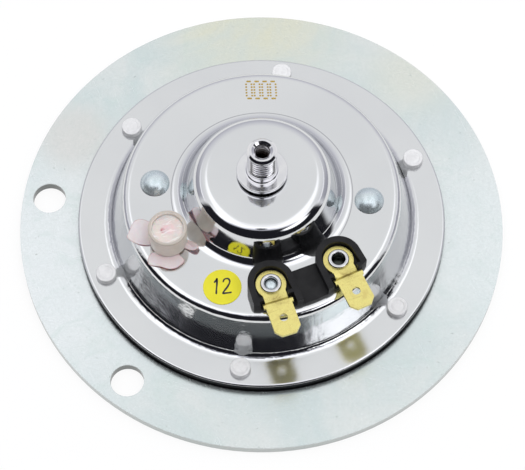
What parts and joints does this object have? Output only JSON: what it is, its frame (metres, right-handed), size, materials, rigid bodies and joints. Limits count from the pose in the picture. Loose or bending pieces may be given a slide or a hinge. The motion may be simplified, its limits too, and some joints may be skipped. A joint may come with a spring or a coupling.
{
  "type": "car horn",
  "caption": "Electric disc horn for a small vehicle: stepped chromed housing on a round fixing plate, with rear threaded stud, blade terminals and sealed adjuster",
  "frame": {"origin": "centre of the front face of the mounting plate, on the axis of the horn", "axes": "+Z runs from the front face of the plate along the horn's axis to the tip of the rear stud, -X points to the middle between the two fixing holes, -Y points to the blade terminals"},
  "size_m": [0.118, 0.118, 0.0392],
  "materials": {
    "zinc_steel": "zinc plated, semi-gloss, fine scratches",
    "gasket": "black, matt",
    "spring_steel": "plain spring steel, oiled",
    "chromed_steel": "mirror bright",
    "rivet_aluminium": "matt, as pressed",
    "plated_steel": "bright plated, turned",
    "plain_steel": "plain, turned or pressed",
    "blue_zinc": "bluish bright zinc",
    "bobbin_plastic": "natural nylon",
    "copper_wire": "enamelled copper",
    "painted_disc": "black, satin",
    "black_plastic": "black, moulded, matt",
    "fibre": "pressed fibre board",
    "brass": "rolled, satin",
    "nickel": "nickel plated, bright",
    "bronze_leaf": "spring bronze",
    "contact_metal": "tungsten, ground",
    "soft_skirt": "thin, pale pink, waxy",
    "cap_plastic": "translucent, waxy",
    "compound": "poured wax, glossy",
    "yellow_paper": "printed label paper"
  },
  "bodies": {
    "horn_body": {"mounting_plate": "zinc_steel", "front_gasket": "gasket", "diaphragm": "spring_steel", "rear_gasket": "gasket", "housing": "chromed_steel", "rim_rivets": "rivet_aluminium", "mounting_stud": "plated_steel", "yoke": "plain_steel", "yoke_rivets": "blue_zinc", "pole_core": "plain_steel", "coil_bobbin": "bobbin_plastic", "coil_winding": "copper_wire", "terminal_block": "black_plastic", "inner_insulator": "fibre", "terminal_blade_left": "brass", "terminal_blade_right": "brass", "terminal_eyelet_left": "nickel", "terminal_eyelet_right": "nickel", "eyelet_pin": "blue_zinc", "lead_tags": "brass", "leaf_spacer": "fibre", "contact_carrier": "plain_steel", "fixed_contact": "contact_metal", "coil_leads": "copper_wire", "screw_bush": "plain_steel", "adjusting_screw": "blue_zinc", "seal_skirt": "soft_skirt", "seal_cap": "cap_plastic", "seal_compound": "compound", "paper_spot": "yellow_paper"},
    "armature_assembly": {"armature": "plain_steel", "disc_spacer": "plain_steel", "tone_disc": "painted_disc"},
    "contact_arm": {"contact_leaf": "bronze_leaf", "moving_contact": "contact_metal", "push_pin": "fibre"}
  },
  "joints": [
    {"name": "armature_stroke", "type": "slide", "parent": "horn_body", "child": "armature_assembly", "axis": [0, 0, 1], "range_m": [0, 0.0005], "stiffness_N_per_m": 9000, "deforming": ["diaphragm"]},
    {"name": "contact_arm_lift", "type": "hinge", "parent": "horn_body", "child": "contact_arm", "pos_m": [-0.00787, -0.02402, 0.0161], "axis": [0.7596, 0.6504, 0], "range_deg": [0, 2.2]}
  ],
  "couplings": [
    {"joint": "contact_arm_lift", "follows": "armature_stroke", "rad_per_m": 76.153}
  ]
}
